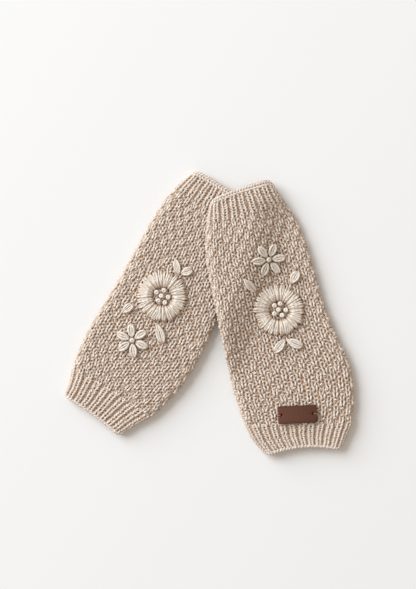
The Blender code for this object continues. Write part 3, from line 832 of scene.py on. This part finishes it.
def label_shape():
    """The label's top as a grid of points in its own frame, with how far each one is from the long
    edges and from the nearer hole, and how far along the label it lies, from -1 to 1."""
    columns = int(LABEL_LENGTH / LABEL_CELL)
    rows = int(LABEL_WIDTH / LABEL_CELL)
    u, v = np.meshgrid(np.linspace(-1, 1, columns), np.linspace(-1, 1, rows), indexing="ij")
    x, y = u * LABEL_LENGTH / 2, v * LABEL_WIDTH / 2
    from_end = LABEL_LENGTH / 2 - np.abs(x)
    from_side = LABEL_WIDTH / 2 - np.abs(y)
    corner = np.hypot(np.maximum(LABEL_CORNER - from_end, 0), np.maximum(LABEL_CORNER - from_side, 0))
    on_straight = (from_end > LABEL_CORNER) | (from_side > LABEL_CORNER)
    in_straight, in_corner = np.minimum(from_end, from_side), np.maximum(LABEL_CORNER - corner, 0)
    in_edge = np.where(on_straight, in_straight, in_corner)
    z = LABEL_THICKNESS * (LABEL_EDGE_SHARE + (1 - LABEL_EDGE_SHARE) * rounding(in_edge, LABEL_SOFT))
    z -= LABEL_LINE_DEEP * hump(from_side - LABEL_LINE_IN, LABEL_LINE_WIDE)
    from_hole = np.hypot(np.abs(x) - (LABEL_LENGTH / 2 - LABEL_HOLE_FROM_END), y)
    hole = smooth_step((LABEL_HOLE / 2 - from_hole) / LABEL_HOLE_SOFT + 0.5)
    z -= LABEL_THICKNESS * LABEL_HOLE_SHARE * hole
    z -= LABEL_DIMPLE_DEEP * hump(from_hole, LABEL_DIMPLE_WIDE)
    pull = np.maximum(corner - LABEL_CORNER, 0) * LABEL_CORNER_PULL
    scale = 1 - pull / np.maximum(np.hypot(x, y), 1e-9)
    return np.stack([x * scale, y * scale, z], axis=-1), from_side, from_hole, u


def label(mitten, finish, thread_finish):
    """The leather label: soft edges, a pressed line along the long ones, and two stitching holes
    with a stitch of thread from each over the label's end."""
    under = np.array([*LABEL_PLACE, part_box("right_label")[0][2]])
    turned = turn_matrix(LABEL_TURN).T
    shape, from_side, from_hole, u = label_shape()
    index = np.arange(u.size).reshape(u.shape)
    quads = np.stack([index[:-1, :-1], index[1:, :-1], index[1:, 1:], index[:-1, 1:]], axis=-1)
    rim = np.concatenate([index[:, 0], index[-1, 1:], index[-2::-1, -1], index[0, -2:0:-1]])
    top = shape.reshape(-1, 3)
    base = top[rim] * np.array([1, 1, 0])
    below = len(top) + np.arange(len(rim))
    walls = np.stack([rim, below, np.roll(below, -1), np.roll(rim, -1)], axis=-1)
    points = mitten.to_world(np.concatenate([top, base]) @ turned + under)
    faces = [np.concatenate([quads.reshape(-1, 4), walls]), below[None, ::-1]]
    made = make_piece("right_label_leather", points, faces, finish)
    dark = np.exp(-from_side / LABEL_DARK_EDGE) + np.exp(-from_hole / LABEL_DARK_HOLE)
    # painted sheen: the leather paler towards one end
    store(made.data, "painted_sheen", np.concatenate([0.5 - 0.5 * u.ravel(), np.zeros(len(rim))]))
    store(made.data, "dark", np.concatenate([dark.ravel(), np.ones(len(rim))]))
    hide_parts("right_label")
    for way in (-1, 1):
        bends = [(way * (LABEL_LENGTH / 2 + out), 0, LABEL_THICKNESS + up) for out, up in THREAD_PATH]
        path = curve(bends, np.linspace(0, len(bends) - 1, THREAD_STEPS)) @ turned + under
        thick = np.full(THREAD_STEPS, LABEL_THREAD)
        strands = stack_strands([mitten.to_world(path)], [thick], [np.zeros(THREAD_STEPS)])
        name = "right_label_thread_" + ("right" if way > 0 else "left")
        tube_piece(name, [strands], YARN_SIDES, thread_finish)


def colour_ramp(nodes, links, source, stops):
    """The colours that a value stands for, as an output."""
    ramp = nodes.new("ShaderNodeValToRGB")
    for k, (position, colour) in enumerate(stops):
        if k < 2:
            stop = ramp.color_ramp.elements[k]
        else:
            stop = ramp.color_ramp.elements.new(position)
        stop.position = position
        stop.color = (*colour, 1)
    links.new(source, ramp.inputs["Fac"])
    return ramp.outputs["Color"]


def noise(nodes, links, scale):
    """Fine noise in the object's own space, as an output."""
    where = nodes.new("ShaderNodeTexCoord")
    made = nodes.new("ShaderNodeTexNoise")
    made.inputs["Scale"].default_value = scale
    made.inputs["Detail"].default_value = 4
    links.new(where.outputs["Object"], made.inputs["Vector"])
    return made.outputs["Fac"]


def mix_by(nodes, links, attribute):
    """A mix of two colours by a value that each point has."""
    share = nodes.new("ShaderNodeAttribute")
    share.attribute_name = attribute
    mix = nodes.new("ShaderNodeMix")
    mix.data_type = "RGBA"
    links.new(share.outputs["Fac"], mix.inputs["Factor"])
    return mix


def calculate(nodes, links, operation, source, values):
    """A sum on a value, whose other inputs are numbers or outputs too."""
    made = nodes.new("ShaderNodeMath")
    made.operation = operation
    links.new(source, made.inputs[0])
    for k, value in enumerate(values):
        if isinstance(value, float):
            made.inputs[k + 1].default_value = value
        else:
            links.new(value, made.inputs[k + 1])
    return made.outputs["Value"]


def add_bump(nodes, links, source, strength):
    """A fine relief from a value, on the material's own shader."""
    bump = nodes.new("ShaderNodeBump")
    bump.inputs["Strength"].default_value = strength
    bump.inputs["Distance"].default_value = BUMP_DISTANCE
    links.new(source, bump.inputs["Height"])
    links.new(bump.outputs["Normal"], nodes["Principled BSDF"].inputs["Normal"])


def yarn_material(name, top_stops, shade_stops, twist):
    """Heathered yarn: flecks of lighter and darker fibre, with painted light and shade that make it
    paler on top and browner in the depth of the work, and with fibres that wind along it."""
    made = bpy.data.materials.new(name)
    made.use_nodes = True
    nodes, links = made.node_tree.nodes, made.node_tree.links
    shader = nodes["Principled BSDF"]
    shader.inputs["Roughness"].default_value = 0.88
    shader.inputs["Sheen Weight"].default_value = 0.08
    shader.inputs["Sheen Roughness"].default_value = 0.5
    shader.inputs["Specular IOR Level"].default_value = 0.1
    flecks = noise(nodes, links, FLECK_SCALE)
    # painted light and shade: the top colours give way to the shade colours with the yarn's depth
    mix = mix_by(nodes, links, "deep")
    mix.clamp_factor = False
    links.new(colour_ramp(nodes, links, flecks, top_stops), mix.inputs["A"])
    links.new(colour_ramp(nodes, links, flecks, shade_stops), mix.inputs["B"])
    links.new(mix.outputs["Result"], shader.inputs["Base Color"])
    where = nodes.new("ShaderNodeTexCoord")
    split = nodes.new("ShaderNodeSeparateXYZ")
    links.new(where.outputs["UV"], split.inputs["Vector"])
    around = calculate(nodes, links, "MULTIPLY", split.outputs["Y"], [math.tau * PLIES])
    wound = [math.tau / TWIST_PITCH, around]
    wound = calculate(nodes, links, "MULTIPLY_ADD", split.outputs["X"], wound)
    add_bump(nodes, links, calculate(nodes, links, "SINE", wound, []), twist)
    return made


def leather_material(name, colour, sheen_colour, edge_colour):
    """Smooth dyed leather: a fine grain, paler towards one end by a painted sheen, darker along its cut
    edges.
    """
    made = plain_material(name, colour, roughness=0.55, grain=0.35, grain_scale=700)
    nodes, links = made.node_tree.nodes, made.node_tree.links
    shader = nodes["Principled BSDF"]
    grained = shader.inputs["Base Color"].links[0].from_socket
    for attribute, other in (("painted_sheen", sheen_colour), ("dark", edge_colour)):
        mix = mix_by(nodes, links, attribute)
        links.new(grained, mix.inputs["A"])
        mix.inputs["B"].default_value = (*other, 1)
        grained = mix.outputs["Result"]
    links.new(grained, shader.inputs["Base Color"])
    return made


def plain_material(name, colour, roughness, grain=0.0, grain_scale=1500):
    """One colour, with a fine grain if it has any."""
    made = bpy.data.materials.new(name)
    made.use_nodes = True
    nodes, links = made.node_tree.nodes, made.node_tree.links
    shader = nodes["Principled BSDF"]
    shader.inputs["Base Color"].default_value = (*colour, 1)
    shader.inputs["Roughness"].default_value = roughness
    if grain:
        grains = noise(nodes, links, grain_scale)
        add_bump(nodes, links, grains, grain)
        dark = tuple(GRAIN_DARK * part for part in colour)
        light = tuple(min(1.0, GRAIN_LIGHT * part) for part in colour)
        ramp = colour_ramp(nodes, links, grains, [(0.35, dark), (0.65, light)])
        links.new(ramp, shader.inputs["Base Color"])
    return made


# The camera looks straight down and takes in the height of the photo, at its scale
PIXEL = 0.00078
PHOTO_HIGH = 589 * PIXEL
LENS = 85.0
SENSOR = 36.0
LOOKED_AT = (-0.00066, 0.01438, 0.006)
WORLD_STRENGTH = 0.49
WORLD_COLOUR = (1.0, 0.90, 0.80)  # shade is warm
KEY_PLACE = (-3.8, 2.6, 2.70)
KEY_SIZE = 4.2
KEY_POWER = 405.0
KEY_COLOUR = (0.86, 0.93, 1.0)  # and the lit floor white
FLOOR_SIZE = 4.0
FLOOR_COLOUR = (0.90, 0.895, 0.885)


def studio():
    """A pale floor, soft light all round, and a soft key light from the upper left."""
    bpy.ops.mesh.primitive_plane_add(size=FLOOR_SIZE)
    floor = bpy.context.object
    floor.name = "floor"
    floor.data.materials.append(plain_material("floor", FLOOR_COLOUR, roughness=0.85))
    world = bpy.context.scene.world or bpy.data.worlds.new("studio")
    bpy.context.scene.world = world
    world.use_nodes = True
    world.node_tree.nodes["Background"].inputs["Color"].default_value = (*WORLD_COLOUR, 1)
    world.node_tree.nodes["Background"].inputs["Strength"].default_value = WORLD_STRENGTH
    key = bpy.data.lights.new("key", "AREA")
    key.energy = KEY_POWER
    key.size = KEY_SIZE
    key.color = KEY_COLOUR
    lamp = bpy.data.objects.new("key", key)
    lamp.location = KEY_PLACE
    lamp.rotation_euler = (-Vector(KEY_PLACE)).to_track_quat("-Z", "Y").to_euler()
    bpy.context.scene.collection.objects.link(lamp)
    bpy.context.scene.view_settings.view_transform = "Standard"


def camera():
    """A camera as high above the mittens as takes in the photo's height."""
    data = bpy.data.cameras.new("camera")
    data.lens = LENS
    data.sensor_width = SENSOR
    made = bpy.data.objects.new("camera", data)
    made.location = Vector(LOOKED_AT) + Vector((0, 0, PHOTO_HIGH * LENS / SENSOR))
    bpy.context.scene.collection.objects.link(made)
    bpy.context.scene.camera = made


# The materials. Stops are places in the noise and the colours there.
FLECK_SCALE = 900
TWIST_PITCH = 0.0030  # the length in which the yarn's plies wind once round it
PLIES = 2
BUMP_DISTANCE = 0.0002
GRAIN_DARK, GRAIN_LIGHT = 0.78, 1.18  # how much darker and lighter than the colour a grain gets
# The top colours are the yarn on top of the work; the shade ones are the painted shade it turns to in its
# depths
WOOL_TOP = [(0.34, (0.70, 0.62, 0.54)), (0.50, (0.855, 0.80, 0.745)), (0.66, (0.90, 0.87, 0.845))]
WOOL_PAINTED_SHADE = [(0.34, (0.48, 0.355, 0.26)), (0.50, (0.65, 0.505, 0.395)), (0.66, (0.79, 0.65, 0.53))]
CREAM_TOP = [(0.28, (0.73, 0.645, 0.565)), (0.50, (0.84, 0.765, 0.685)), (0.72, (0.89, 0.84, 0.785))]
CREAM_PAINTED_SHADE = [(0.28, (0.57, 0.43, 0.32)), (0.50, (0.67, 0.53, 0.415)), (0.72, (0.77, 0.64, 0.53))]
# the inner side's brown is painted shade for the holes between the stitches
INSIDE_PAINTED_SHADE = (0.66, 0.48, 0.35)
LEATHER_COLOUR = (0.092, 0.0245, 0.0090)
# the painted sheen's paler colour
LEATHER_PAINTED_SHEEN = (0.134, 0.047, 0.0265)
LEATHER_EDGE = (0.060, 0.013, 0.0050)
THREAD_COLOUR = (0.42, 0.14, 0.05)

studio()
camera()
wool = yarn_material("oatmeal_wool", WOOL_TOP, WOOL_PAINTED_SHADE, twist=0.5)
cream = yarn_material("cream_yarn", CREAM_TOP, CREAM_PAINTED_SHADE, twist=0.3)
inside = plain_material("wool_inside_painted_shade", INSIDE_PAINTED_SHADE, roughness=0.95, grain=0.3, grain_scale=600)
leather = leather_material("brown_leather", LEATHER_COLOUR, LEATHER_PAINTED_SHEEN, LEATHER_EDGE)
thread = plain_material("copper_thread", THREAD_COLOUR, roughness=0.6)

left = Mitten("left", LEFT_COURSES, LEFT_PLACE)
right = Mitten("right", RIGHT_COURSES, RIGHT_PLACE, below=left)
for mitten, knit in ((left, LEFT_KNIT), (right, RIGHT_KNIT)):
    cloth = backing(mitten, inside)
    pieces = knit_mitten(mitten, knit, wool)
    pieces.append(edge_cords(mitten, mitten.side + "_wrist_hem", WRIST_EDGE, False, wool))
    pieces.append(edge_cords(mitten, mitten.side + "_finger_edge", FINGER_EDGE, True, wool))
embroider(left, LEFT_FLOWER, LEFT_KNOTS, LEFT_SMALL_FLOWER, LEFT_LEAVES, cream)
embroider(right, RIGHT_FLOWER, RIGHT_KNOTS, RIGHT_SMALL_FLOWER, RIGHT_LEAVES, cream)
label(right, leather, thread)
